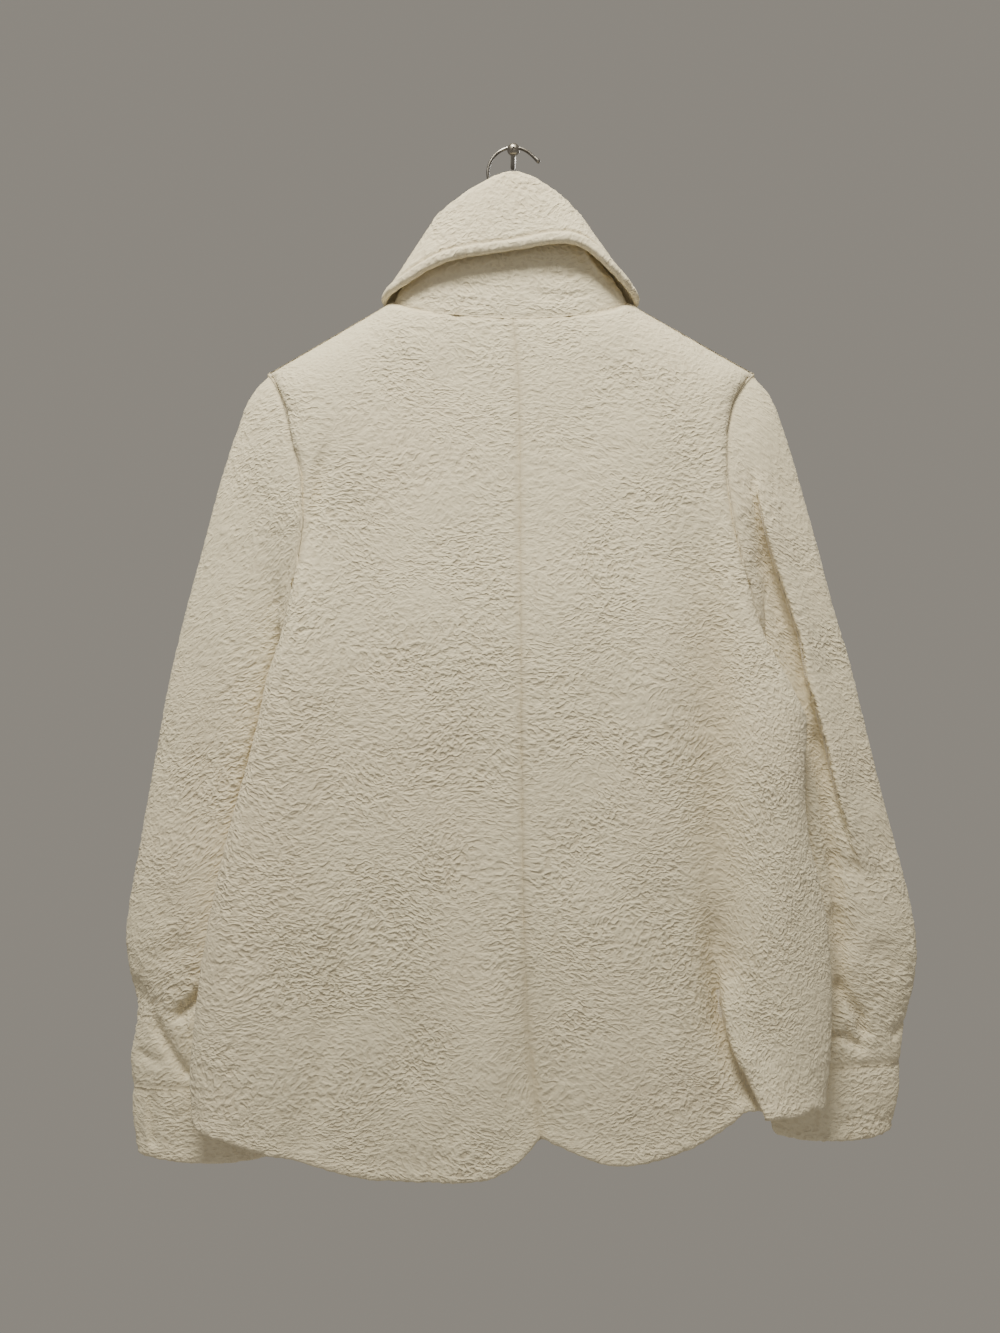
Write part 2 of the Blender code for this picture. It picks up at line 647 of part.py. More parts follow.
def main():
    for old in list(bpy.data.objects):
        bpy.data.objects.remove(old, do_unlink=True)
    for side, word in ((LEFT, "left"), (RIGHT, "right")):
        panel("back_" + word, side, 1)
        panel("front_" + word, side, -1)
        sleeve("sleeve_" + word, side)
        cuff("cuff_" + word, side)
    collar_stand()
    collar_fall()
    hanger_body()
    hanger_hook()
    wall_screw()


main()
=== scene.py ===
"""Sherpa jacket on a hanger: the cloth's smooth form, creases and pile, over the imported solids.

Every mesh is in metres. The tables of creases, seams and sizes are in millimetres, in the jacket's
own frame: the screw ends flat at y = 0, the back faces -Y and the left sleeve is at -X. A piece's
wall is its sheet of cloth, whose faces are its pile side, its reverse and its rims.
"""

from collections import namedtuple
from functools import partial
from math import cos, pi, radians, sin

import bmesh
import bpy
import numpy as np
from mathutils import Matrix, Vector, noise
from mathutils.bvhtree import BVHTree
from mathutils.kdtree import KDTree


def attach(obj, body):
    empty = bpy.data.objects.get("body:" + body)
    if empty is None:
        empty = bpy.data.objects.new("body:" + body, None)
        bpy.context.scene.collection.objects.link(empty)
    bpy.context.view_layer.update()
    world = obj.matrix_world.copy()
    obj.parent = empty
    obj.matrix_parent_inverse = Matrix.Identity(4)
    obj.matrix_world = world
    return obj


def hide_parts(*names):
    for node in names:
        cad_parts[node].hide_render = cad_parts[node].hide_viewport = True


MM = 0.001
BODY_MIDDLE_Y, SLEEVE_MIDDLE_Y = -30.0, -25.0

# Reading a solid's wall.
RIM_ANGLE = radians(48)    # sharper edges than this bound a wall's rim
RIM_NARROW = 2.6           # a rim's area for each length of its edges
RIM_DEPTH = 7.0            # there is at least this much cloth behind a rim
RIM_SKIN = 0.7             # how far under a face its depth is measured from
TUBE_CLEAR, TUBE_REACH = 2.0, 70.0   # where a look across a tube starts and ends
SEWN_ANGLE = radians(33)   # sharper edges than this may be sewn
SEWN_GAP, STAND_GAP = 1.5, 7.0       # how near a sewn edge is to the next piece
POINT_STEP = 2.0           # spacing of the points along an edge
FURTHEST = 60.0            # no distance is measured beyond this

# Making it fine.
MERGE = 0.02               # corners nearer than this are one
SEWN_NEAR = 3.0            # an edge is sewn where a seam's points are this near
SEWN_CREASE, FREE_CREASE = 1.0, 0.42   # how firmly a rim's edges stay where they are
LONG_EDGE = 27.0           # the outer face's edges above this length are halved
FINE_LEVELS = 3
EVEN_SHARE, EVEN_TURNS = 0.5, 8        # smoothing inside the rims
PILE_SLOT, REVERSE_SLOT, RIM_SLOT = 0, 1, 2   # material slots of a wall's faces

# Seams and edges.
BY_SEAM = 8.0              # within this of a seam, the cloth moves along its wall's own normal
SEAM_DEEP, SEAM_WIDE = 0.8, 3.2        # how the cloth sinks towards its sewn seams, with painted shade as wide
SEAM_MEET = 1.0            # how far each sewn edge goes on, into the next one
# The sleeves' edges go on further, under the panels', and the stand's hangs behind theirs.
MEETS = {"sleeve_left": 2.0, "sleeve_right": 2.0, "collar_stand": 0.0}
MEET_END, MEET_FADE = 3.2, 1.6         # an edge's points are this near the seam
STAND_MEET, STAND_LOW = 2.0, -105.0    # how far the stand hangs, and below what height
HEM_ROLL, HEM_WIDE = 0.9, 13.0         # hem and free edges are a little thicker
STITCH_IN = {"collar_fall": 8.0}       # how far a stitch line lies from the piece's free edges
STITCH_WIDE, PUCKER_SIZE = 1.3, 4.0    # of the line and of the puckers along it

# Creases and pile.
CREASE_CALM, WAVE_CALM = 14.0, 30.0    # creases and slow waves fade this near a seam
WAVE_TALL, WAVE_SIZE = 0.9, 55.0       # slow waves of the hanging cloth
HOLLOW_SHADE_DEEP = 8.0          # a crease this deep gets the full painted shade in its colour
LAP = 0.55                 # how far a raised step laps over, for each millimetre of its height
STEP_RUN, STEP_SINK = 7, 0.35          # its widths until it is level, and the sinking beside it
HEM_LIFT_TOP, HEM_LIFT_FADE = -735.0, 55.0   # the hem's lifts grow from here down
PILE_TALL, PILE_SIZE = 0.60, 5.2       # lumps of the pile
INSIDE_SHARE = 0.15        # the reverse has this share of the pile side's relief
GRAIN_LONG = 0.70          # the pile's crinkles are longer than they are wide
# They are shorter on the long right fold, beyond FOLD_X and below FOLD_TOP.
FOLD_X, FOLD_TOP, FOLD_FADE, FOLD_SHORTER = 176.0, -360.0, 160.0, 0.55
SLEEVE_SLANT, FALL_SLANT = 0.42, -0.25 # how the crinkles turn on the sleeves and the fall

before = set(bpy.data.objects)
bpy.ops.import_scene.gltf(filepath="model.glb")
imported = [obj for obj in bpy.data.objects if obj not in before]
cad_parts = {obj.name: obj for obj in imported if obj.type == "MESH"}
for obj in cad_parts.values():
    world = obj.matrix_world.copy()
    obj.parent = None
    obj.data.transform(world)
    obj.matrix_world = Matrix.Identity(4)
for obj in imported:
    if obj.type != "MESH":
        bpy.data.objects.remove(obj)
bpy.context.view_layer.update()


# ---- creases, in millimetres ------------------------------------------------------------------
# A crease runs along its stops (x, z). push is towards +Y, at its middle; a step is raised on its
# right side, seen from behind, and wide is how far the cloth takes to fall or rise. start and end
# are the shares of its length over which it fades.
Crease = namedtuple("Crease", "stops wide push start end step", defaults=(0.0, 0.0, False))
BACK_CREASES = [
    Crease([(168, -677), (173, -715), (178, -743), (185, -767), (194, -789), (203, -806)],
           4, -9.5, 0.35, 0.0, True),
    Crease([(153, -297), (160, -367), (165, -451), (167, -583), (168, -700), (176, -770)],
           19, 6.0, .3, .1),
    Crease([(162, -620), (168, -700), (177, -760), (190, -795)], 10, 4.6, .3, .0),
    Crease([(-141, -640), (-150, -720), (-165, -790), (-176, -832)], 12, 2.6, .4, .0),
    Crease([(-91, -680), (-86, -740), (-88, -800)], 17, 2.2, .5, .4),
    Crease([(-150, -238), (-158, -268), (-164, -295), (-170, -325), (-178, -362)],
           6.5, 3.8, .4, .35),
    Crease([(-178, -380), (-200, -470), (-214, -560), (-222, -700)], 11, 1.8, .4, .5),
    Crease([(-171, -335), (-186, -417), (-201, -484), (-217, -550), (-228, -617), (-237, -667),
            (-244, -730)], 6, -2.2, .2, .2),
    Crease([(-40, -160), (-62, -215), (-92, -262)], 14, 0.9, .3, .6),
    Crease([(60, -165), (88, -214), (118, -250)], 13, 0.9, .3, .6),
    Crease([(112, -560), (118, -660), (112, -770)], 19, 1.8, .5, .4),
    Crease([(-30, -420), (-34, -560), (-28, -690)], 26, 1.4, .5, .5),
    Crease([(62, -360), (74, -470), (70, -560)], 24, 1.4, .5, .5),
    Crease([(206, -330), (214, -420), (229, -470)], 7, 2.4, .4, .4),
    Crease([(-60, -830), (-42, -800), (-20, -778)], 9, 1.0, .2, .6),
    Crease([(196, -500), (204, -570), (206, -660)], 9, 1.3, .5, .5),
]
FRONT_CREASES = [
    Crease([(-96, -232), (-88, -330), (-82, -440)], 16, -1.8, .3, .5),
    Crease([(92, -236), (96, -340), (86, -470)], 15, -1.8, .3, .5),
    Crease([(-58, -520), (-66, -640), (-60, -800)], 20, -1.6, .4, .2),
    Crease([(48, -470), (56, -620), (44, -780)], 20, -1.6, .4, .2),
    Crease([(-150, -420), (-132, -560), (-128, -720)], 11, -2.0, .4, .4),
    Crease([(148, -430), (130, -570), (132, -740)], 11, -2.0, .4, .4),
    Crease([(-110, -640), (-118, -740), (-112, -830)], 12, 1.5, .4, .1),
    Crease([(108, -600), (104, -720), (112, -810)], 12, 1.5, .4, .1),
]
# Sleeves: those on the side of the back, then those on the far side.
SLEEVE_CREASES = {
    "left": ([
        Crease([(-176, -319), (-181, -350), (-192, -417), (-209, -484), (-225, -550), (-236, -617),
                (-245, -667), (-256, -710)], 6, 7.0, .08, .3),
        Crease([(-262, -715), (-273, -726), (-282, -733), (-291, -738)], 5, 6.5, .0, .4),
        Crease([(-307, -728), (-297, -752), (-289, -764), (-272, -788)], 5, 4.6, .3, .1),
        Crease([(-326, -700), (-312, -722), (-300, -742)], 8, 2.4, .2, .5),
        Crease([(-295, -600), (-292, -640), (-294, -690)], 10, 1.8, .5, .5),
        Crease([(-212, -250), (-226, -330), (-236, -430)], 13, 1.6, .4, .5),
        Crease([(-240, -430), (-262, -520), (-268, -610)], 12, 1.5, .5, .5),
        Crease([(-322, -764), (-306, -772), (-286, -774)], 5, 2.2, .2, .4),
        Crease([(-270, -660), (-290, -682), (-316, -690)], 10, 1.8, .3, .4),
    ], [
        Crease([(-200, -560), (-240, -600), (-280, -612)], 12, 3.0, .3, .5),
        Crease([(-300, -735), (-270, -752), (-225, -760)], 8, 3.4, .3, .3),
        Crease([(-230, -300), (-246, -400), (-252, -500)], 14, 1.8, .4, .5),
        Crease([(-318, -690), (-290, -720), (-250, -730)], 8, 2.6, .3, .4),
    ]),
    "right": ([
        Crease([(200, -262), (204, -293), (212, -323), (221, -353), (231, -381), (242, -415),
                (248, -450), (255, -473), (265, -507), (274, -551), (284, -587), (292, -612),
                (303, -640)], 3.6, -10.0, .18, .34, True),
        Crease([(250, -477), (259, -534), (267, -592), (272, -651), (274, -701), (272, -751)],
               6, 6.0, .15, .2),
        Crease([(198, -292), (211, -350), (230, -408), (243, -468), (262, -545)],
               9.5, 5.2, .25, .3),
        Crease([(250, -486), (262, -508), (266, -520), (265, -548)], 5, 3.4, .3, .5),
        Crease([(268, -700), (280, -716), (291, -733), (298, -757)], 5, 5.5, .2, .2),
        Crease([(262, -752), (278, -750), (291, -759), (301, -766)], 4.5, 4.2, .1, .3),
        Crease([(316, -756), (326, -748), (338, -738)], 4.5, 3.0, .4, .2),
        Crease([(262, -590), (276, -606), (296, -615), (318, -612)], 9, 2.2, .3, .6),
        Crease([(300, -560), (318, -590), (326, -622)], 12, 1.4, .5, .5),
        Crease([(300, -668), (320, -690), (336, -694)], 10, 1.8, .3, .4),
        Crease([(262, -640), (280, -662), (286, -690)], 8, 2.4, .3, .4),
    ], [
        Crease([(218, -560), (250, -600), (292, -612)], 12, 3.0, .3, .5),
        Crease([(310, -728), (280, -742), (236, -750)], 8, 3.4, .3, .3),
        Crease([(236, -300), (250, -400), (262, -500)], 14, 1.8, .4, .5),
        Crease([(334, -680), (300, -706), (262, -716)], 8, 2.6, .3, .4),
    ]),
}
# Wrinkles round the stand, seen from behind.
STAND_CREASES = [
    Crease([(-84, -132), (-52, -137), (-18, -134)], 3.2, 1.3, .3, .4),
    Crease([(-44, -146), (-8, -143), (22, -145)], 2.8, 1.1, .4, .4),
    Crease([(6, -128), (38, -132), (70, -127)], 3.4, 1.4, .4, .3),
    Crease([(30, -140), (56, -138), (84, -133)], 2.8, 1.1, .4, .3),
    Crease([(-64, -118), (-34, -122), (-6, -117)], 4.0, 1.1, .4, .5),
    Crease([(14, -110), (44, -113), (66, -108)], 4.0, 1.2, .4, .4),
    Crease([(60, -76), (63, -92), (70, -102), (82, -113)], 2.6, 6.0, .0, .3, True),
]
CUFF_CREASES = [Crease([(-309, -796), (-311, -820), (-308, -846)], 1.8, 2.2, .1, .05, True)]
# The hem's corners at the long right fold are rounded: (x, wide, lift) of each.
LOBE_LIFTS = [(206, 30, 9.0), (189, 9, 5.0), (240, 8, 6.0)]
HEM_LIFTS = {"back_right": LOBE_LIFTS, "front_right": LOBE_LIFTS}
CREASES_OF = {
    "back_left": (BACK_CREASES, []), "back_right": (BACK_CREASES, []),
    "front_left": (FRONT_CREASES, []), "front_right": (FRONT_CREASES, []),
    "sleeve_left": SLEEVE_CREASES["left"], "sleeve_right": SLEEVE_CREASES["right"],
    "collar_stand": (STAND_CREASES, []), "cuff_left": (CUFF_CREASES, []),
}


# ---- helpers ----------------------------------------------------------------------------------
def ease(share):
    """0 to 1 with a level start and end, for numbers and arrays."""
    share = np.clip(share, 0.0, 1.0)
    return share * share * (3 - 2 * share)


def link(piece):
    bpy.context.scene.collection.objects.link(piece)
    return piece


def read_points(mesh, name="co"):
    """Points or normals of a mesh's vertices, a row each."""
    source = mesh.vertices if name == "co" else mesh.vertex_normals
    values = np.empty(len(mesh.vertices) * 3)
    source.foreach_get(name, values)
    return values.reshape(-1, 3)


def made(bm, name):
    """A new piece from a bmesh, at the origin."""
    mesh = bpy.data.meshes.new(name)
    bm.to_mesh(mesh)
    bm.free()
    return link(bpy.data.objects.new(name, mesh))


def bake(piece):
    """Apply a piece's modifiers."""
    shown = piece.evaluated_get(bpy.context.evaluated_depsgraph_get())
    mesh = bpy.data.meshes.new_from_object(shown)
    piece.modifiers.clear()
    piece.data = mesh


def edge_middle(edge):
    return (edge.verts[0].co + edge.verts[1].co) / 2


def area_of(faces):
    return sum(face.calc_area() for face in faces)


def face_patches(bm, sharp):
    """Patches of faces that the sharp edges part."""
    seen, patches = set(), []
    for start in bm.faces:
        if start in seen:
            continue
        patch, queue = set(), [start]
        seen.add(start)
        while queue:
            face = queue.pop()
            patch.add(face)
            for edge in face.edges:
                if edge in sharp:
                    continue
                for other in edge.link_faces:
                    if other not in seen:
                        seen.add(other)
                        queue.append(other)
        patches.append(patch)
    return patches


def facing_out(patch, middle_y):
    """How much a patch faces away from the middle of the jacket."""
    return sum(face.calc_area() * face.normal.y * (face.calc_center_median().y - middle_y * MM)
               for face in patch)


def cloth_behind(tree, face):
    """Whether there is as much cloth behind a face as there is behind a rim."""
    start = face.calc_center_median() - RIM_SKIN * MM * face.normal
    depth = tree.ray_cast(start, -face.normal)[3]
    return depth is None or depth > RIM_DEPTH * MM


def faced_across(tree, face):
    """Whether a tube's face looks at another of its inner faces."""
    start = face.calc_center_median() + TUBE_CLEAR * MM * face.normal
    faced = tree.ray_cast(start, face.normal, TUBE_REACH * MM)[1]
    return faced is not None and faced.dot(face.normal) < 0


def sewn_at(name, point, gap):
    """Whether another cloth piece's solid is near a point of a piece."""
    return any(tree.find_nearest(point, gap * MM)[0] is not None
               for other, tree in cloth_trees.items() if other != name)


def wall_parts(bm, cut):
    """A wall's inner faces, the faces of its rims and the edges along those rims."""
    tree = BVHTree.FromBMesh(bm)
    angles = {edge: edge.calc_face_angle(0) for edge in bm.edges if len(edge.link_faces) == 2}
    sharp = {edge for edge, angle in angles.items() if angle > RIM_ANGLE}
    inner, rim = set(), set()
    for patch in face_patches(bm, sharp):
        bounds = [edge.calc_length() for face in patch for edge in face.edges if edge in sharp]
        narrow = area_of(patch) < RIM_NARROW * MM * sum(bounds)
        if narrow and 2 * area_of(filter(partial(cloth_behind, tree), patch)) > area_of(patch):
            rim |= patch
        elif not cut.tube and facing_out(patch, cut.middle_y) < 0:
            inner |= patch
    if cut.tube:
        inner |= {face for face in set(bm.faces) - rim if faced_across(tree, face)}
    edges = {edge for edge in sharp if not rim.isdisjoint(edge.link_faces)}
    if not cut.both_sides:
        edges |= {edge for edge, angle in angles.items()
                  if angle > SEWN_ANGLE and sewn_at(cut.node, edge_middle(edge), SEWN_GAP)}
    return inner, rim, edges


def edge_points(edges):
    """Points along edges, in metres."""
    points = []
    for edge in edges:
        start, end = edge.verts[0].co, edge.verts[1].co
        steps = max(1, int(edge.calc_length() / (POINT_STEP * MM)))
        points += [start.lerp(end, step / steps) for step in range(steps + 1)]
    return points


def tree_of(points):
    tree = KDTree(len(points))
    for i, point in enumerate(points):
        tree.insert(point, i)
    tree.balance()
    return tree


def distances(tree_points, points):
    """Distance in millimetres from each point to the nearest of some others."""
    if not tree_points:
        return np.full(len(points), FURTHEST)
    tree = tree_of(tree_points)
    return np.minimum([tree.find(point)[2] for point in points], FURTHEST * MM) / MM


# ---- cloth ------------------------------------------------------------------------------------
def paired_solid(name):
    """A merged copy of a solid, with its triangles paired into quads."""
    bm = bmesh.new()
    bm.from_mesh(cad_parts[name].data)
    bmesh.ops.remove_doubles(bm, verts=bm.verts, dist=MERGE * MM)
    for shape in (radians(25), pi):
        bmesh.ops.join_triangles(bm, faces=bm.faces, angle_face_threshold=radians(40),
                                 angle_shape_threshold=shape)
    return bm


def solid_rims(cut):
    """Points along the edges of a solid's rims."""
    bm = paired_solid(cut.node)
    points = edge_points(wall_parts(bm, cut)[2])
    bm.free()
    return points


def fine_wall(cut, seams):
    """The solid's wall, smooth and fine."""
    bm = paired_solid(cut.node)
    crease = bm.edges.layers.float.new("crease_edge")
    weights = bm.verts.layers.deform.new()
    inner, rim, edges = wall_parts(bm, cut)
    for edge in edges:
        sewn = seams.find(edge_middle(edge))[2] < SEWN_NEAR * MM
        edge[crease] = SEWN_CREASE if sewn else FREE_CREASE
    on_rim = {corner for edge in edges for corner in edge.verts}
    for corner in bm.verts:
        corner[weights][0] = 0.0 if corner in on_rim else 1.0
    for face in bm.faces:
        face.smooth = True
        face.material_index = PILE_SLOT
        if face in inner:
            face.material_index = REVERSE_SLOT
        elif face in rim:
            face.material_index = RIM_SLOT
    long_edges = {edge for face in bm.faces if face.material_index == PILE_SLOT
                  for edge in face.edges if edge.calc_length() > LONG_EDGE * MM}
    bmesh.ops.subdivide_edges(bm, edges=list(long_edges), cuts=1, use_grid_fill=True)
    piece = made(bm, cut.node + "_cloth")
    piece.vertex_groups.new(name="inside")
    finer = piece.modifiers.new("finer", "SUBSURF")
    finer.levels = finer.render_levels = FINE_LEVELS
    even = piece.modifiers.new("even", "SMOOTH")
    even.vertex_group, even.factor, even.iterations = "inside", EVEN_SHARE, EVEN_TURNS
    bake(piece)
    return piece


def crease_push(creases, points):
    """How far a list of creases moves points in metres, in millimetres along X, Y and Z. The raised
    side of a step also laps over its low side."""
    x, z = points[:, 0] / MM, points[:, 2] / MM
    total = np.zeros((len(points), 3))
    for crease in creases:
        stops = np.array(crease.stops, dtype=float)
        lengths = np.hypot(*(stops[1:] - stops[:-1]).T)
        run = np.concatenate([[0.0], np.cumsum(lengths)])
        nearest = np.full(len(points), 1e9)
        share, side = np.zeros(len(points)), np.zeros(len(points))
        for i, length in enumerate(lengths):
            along = (stops[i + 1] - stops[i]) / length
            local = (x - stops[i, 0]) * along[0] + (z - stops[i, 1]) * along[1]
            across = (z - stops[i, 1]) * along[0] - (x - stops[i, 0]) * along[1]
            held = np.clip(local, 0, length)
            distance = np.hypot(local - held, across)
            closer = distance < nearest
            nearest[closer] = distance[closer]
            share[closer] = ((run[i] + held) / run[-1])[closer]
            side[closer] = across[closer]
        fade = np.ones(len(points))
        if crease.start:
            fade *= ease(share / crease.start)
        if crease.end:
            fade *= ease((1 - share) / crease.end)
        if crease.step:
            lifted = np.sign(side) * nearest
            level = 1 - ease(lifted / (STEP_RUN * crease.wide))
            raised = ease(lifted / crease.wide + 0.5) * level
            profile = raised - STEP_SINK * np.exp(-((lifted + crease.wide) / crease.wide) ** 2)
            if crease.push < 0:
                way = stops[-1] - stops[0]
                lap = LAP * crease.push * fade * raised / np.hypot(*way)
                total[:, 0] -= lap * way[1]
                total[:, 2] += lap * way[0]
        else:
            profile = np.exp(-(nearest / crease.wide) ** 2)
        total[:, 1] += crease.push * fade * profile
    return total


def crease_shift(name, points, to_seam, soft):
    """How far a piece's creases, hem lifts and slow waves move its points, in millimetres, and how
    much painted shade each point gets from the depth of its crease, 0 to 1."""
    near, far = CREASES_OF.get(name, ([], []))
    x, y, z = points.T / MM
    behind = np.ones(len(points))
    push = crease_push(near, points)
    if name.startswith("sleeve"):
        behind = ease((SLEEVE_MIDDLE_Y + 2 - y) / 8)
        push = push * behind[:, None] - crease_push(far, points) * (1 - behind)[:, None]
    push *= ease(to_seam / CREASE_CALM)[:, None]
    for middle, wide, lift in HEM_LIFTS.get(name, []):
        low = ease((HEM_LIFT_TOP - z) / HEM_LIFT_FADE)
        push[:, 2] += lift * low * np.exp(-((x - middle) / wide) ** 2)
    if name == "collar_stand":
        low = ease((STAND_LOW - z) / 10)
        push[:, 2] -= STAND_MEET * low * (1 - ease((to_seam - 2) / 8))
    push[:, 1] += WAVE_TALL * soft * ease(to_seam / WAVE_CALM)
    # painted shade: the deeper a crease sinks the cloth, the darker its colour
    return push, ease(push[:, 1] / HOLLOW_SHADE_DEEP) * behind


def grain_place(name, points):
    """Where each point lies in the pile's pattern, in metres. The pattern's crinkles run along the
    first of the three numbers, so they lengthen where it grows slowly and shorten where it grows
    fast, as on the long fold at the right side. Slow waves turn them a little."""
    x, y, z = points.T
    level = GRAIN_LONG * x
    if name.startswith("back"):
        beyond = np.maximum(x - FOLD_X * MM, 0) * ease((FOLD_TOP * MM - z) / (FOLD_FADE * MM))
        level = level + FOLD_SHORTER * beyond
    slant = 0.0
    if name.startswith("sleeve"):
        slant = SLEEVE_SLANT * np.sign(x)
    if name == "collar_fall":
        slant = FALL_SLANT
    waves = np.array([[noise.noise(Vector((a, b, c)) / 0.085),
                       noise.noise(Vector((b, c, a)) / 0.07)] for a, b, c in points])
    return np.column_stack([level + 0.006 * waves[:, 0], 0.9 * y,
                            z + slant * x + 0.012 * waves[:, 1]])


def pile_lumps(places):
    """Lumps of the pile, about -1 to 1: ridges along the grain with smaller ones on them."""
    values = np.empty(len(places))
    for i, place in enumerate(places / (PILE_SIZE * MM)):
        place = Vector(place)
        ridge = max(1 - 3.2 * abs(noise.noise(place)), -1)
        values[i] = 0.75 * ridge + 0.4 * noise.noise(place * 2.3)
    return values


def pile_corners(mesh):
    """True for each vertex of a face that has the pile, on its rims too."""
    loops = np.empty(len(mesh.loops), dtype=np.int32)
    mesh.loops.foreach_get("vertex_index", loops)
    slots = np.empty(len(mesh.polygons), dtype=np.int32)
    mesh.polygons.foreach_get("material_index", slots)
    sides = np.empty(len(mesh.polygons), dtype=np.int32)
    mesh.polygons.foreach_get("loop_total", sides)
    pile = np.zeros(len(mesh.vertices), dtype=bool)
    pile[loops[np.repeat(slots != REVERSE_SLOT, sides)]] = True
    return pile


def wall_normals(mesh):
    """Each vertex's normal from the wall's two faces, without its rim, where it has one there."""
    mesh.calc_loop_triangles()
    count = len(mesh.loop_triangles)
    corners = np.empty(count * 3, dtype=np.int32)
    mesh.loop_triangles.foreach_get("vertices", corners)
    corners = corners.reshape(-1, 3)
    facing, area = np.empty(count * 3), np.empty(count)
    mesh.loop_triangles.foreach_get("normal", facing)
    mesh.loop_triangles.foreach_get("area", area)
    slots = np.empty(count, dtype=np.int32)
    mesh.loop_triangles.foreach_get("material_index", slots)
    weighted = facing.reshape(-1, 3) * (area * (slots != RIM_SLOT))[:, None]
    total = np.zeros((len(mesh.vertices), 3))
    for side in range(3):
        np.add.at(total, corners[:, side], weighted)
    length = np.linalg.norm(total, axis=1)
    normals = read_points(mesh, "vector")
    on_wall = length > 1e-12
    normals[on_wall] = total[on_wall] / length[on_wall, None]
    return normals, on_wall


def stitch_line(points, to_edge, stitch_in):
    """How a topstitched edge rises between its edge and the line, and sinks and puckers at the
    line, in millimetres, and how near each point is to the line, 0 to 1."""
    line = np.exp(-((to_edge - stitch_in) / STITCH_WIDE) ** 2)
    pucker = np.array([noise.noise(Vector(point) / (PUCKER_SIZE * MM)) for point in points])
    raised = 0.8 * np.exp(-((to_edge - stitch_in / 2) / 2.6) ** 2)
    return raised - line * (1.5 + 0.7 * pucker), line


def edge_meeting(name, outward, normals, on_wall, to_seam):
    """How far each sewn edge goes on past its rim, in millimetres along X, Y and Z."""
    past_edge = np.where(on_wall[:, None],
                         outward - normals * (outward * normals).sum(axis=1)[:, None], outward)
    length = np.linalg.norm(past_edge, axis=1)
    meeting = MEETS.get(name, SEAM_MEET) * ease((MEET_END - to_seam) / MEET_FADE)
    return past_edge * (meeting * ease(length / 0.5) / np.maximum(length, 0.01))[:, None]


def dress(piece, name, seams, free_edges):
    """Creases, seam grooves, rolled edges and pile on a fine wall."""
    mesh = piece.data
    points, outward = read_points(mesh), read_points(mesh, "vector")
    normals, on_wall = wall_normals(mesh)
    to_seam, to_edge = distances(seams, points), distances(free_edges, points)
    by_seam = to_seam < BY_SEAM
    normals = np.where(by_seam[:, None], normals, outward)
    soft = np.array([noise.noise(Vector(point) / (WAVE_SIZE * MM)) for point in points])
    push, hollow_shade = crease_shift(name, points, to_seam, soft)
    moved = points + push * MM
    places = grain_place(name, moved)

    groove_and_painted_shade = np.exp(-(to_seam / SEAM_WIDE) ** 2)
    lift = -SEAM_DEEP * groove_and_painted_shade + HEM_ROLL * (1 - ease((to_edge - 2) / HEM_WIDE))
    if name in STITCH_IN:
        raised, line = stitch_line(points, to_edge, STITCH_IN[name])
        lift += raised
        groove_and_painted_shade = np.maximum(groove_and_painted_shade, line)
    relief = (0.78 + 0.4 * ease(0.5 + 1.3 * soft)) * (1 - 0.55 * groove_and_painted_shade)
    relief *= 0.78 + 0.32 * ease((-0.2 - points[:, 2]) / 0.4)   # it is flatter at the top
    lift += PILE_TALL * relief * pile_lumps(places)
    lift[by_seam & ~on_wall] = 0
    lift = np.where(pile_corners(mesh), lift, INSIDE_SHARE * lift)
    moved += normals * (lift * MM)[:, None]
    moved += edge_meeting(name, outward, normals, on_wall, to_seam) * MM
    mesh.vertices.foreach_set("co", moved.ravel())
    mesh.update()

    layer = mesh.attributes.new("pile_place", "FLOAT_VECTOR", "POINT")
    layer.data.foreach_set("vector", places.astype(np.float32).ravel())
    # painted shade in the colour along seams, stitch lines and deep creases
    for attribute_name, values in (("groove_and_painted_shade", np.maximum(groove_and_painted_shade, hollow_shade)), ("relief", relief)):
        layer = mesh.attributes.new(attribute_name, "FLOAT", "POINT")
        layer.data.foreach_set("value", values.astype(np.float32))


# ---- finishes ---------------------------------------------------------------------------------
def put(tree, kind, settings=None, **inputs):
    """A shader node with its settings; inputs are values or other nodes' sockets."""
    shader = tree.nodes.new(kind)
    for name, value in (settings or {}).items():
        setattr(shader, name, value)
    for name, value in inputs.items():
        socket = shader.inputs[int(name[1:])] if name[0] == "n" and name[1:].isdigit() \
            else shader.inputs[name.replace("_", " ")]
        if isinstance(value, bpy.types.NodeSocket):
            tree.links.new(value, socket)
        else:
            socket.default_value = value
    return shader


def maths(tree, operation, *values):
    return put(tree, "ShaderNodeMath", {"operation": operation},
               **{f"n{i}": value for i, value in enumerate(values)}).outputs[0]


def spread(tree, value, low, high, to_low=0.0, to_high=1.0):
    """A value's range brought smoothly to another, held at both ends."""
    return put(tree, "ShaderNodeMapRange", {"interpolation_type": "SMOOTHSTEP"}, Value=value,
               From_Min=low, From_Max=high, To_Min=to_low, To_Max=to_high).outputs[0]


def blended(tree, share, one, other):
    """A mix of two colours, each a socket or three numbers."""
    one, other = (colour if isinstance(colour, bpy.types.NodeSocket) else (*colour, 1.0)
                  for colour in (one, other))
    return put(tree, "ShaderNodeMix", {"data_type": "RGBA"}, n0=share, n6=one, n7=other).outputs[2]


def noise_texture(tree, place, **inputs):
    return put(tree, "ShaderNodeTexNoise", Vector=place, **inputs).outputs[0]


def placed(tree, group, **inputs):
    """A shader node group's outputs, in a material's tree."""
    return put(tree, "ShaderNodeGroup", {"node_tree": group}, **inputs).outputs


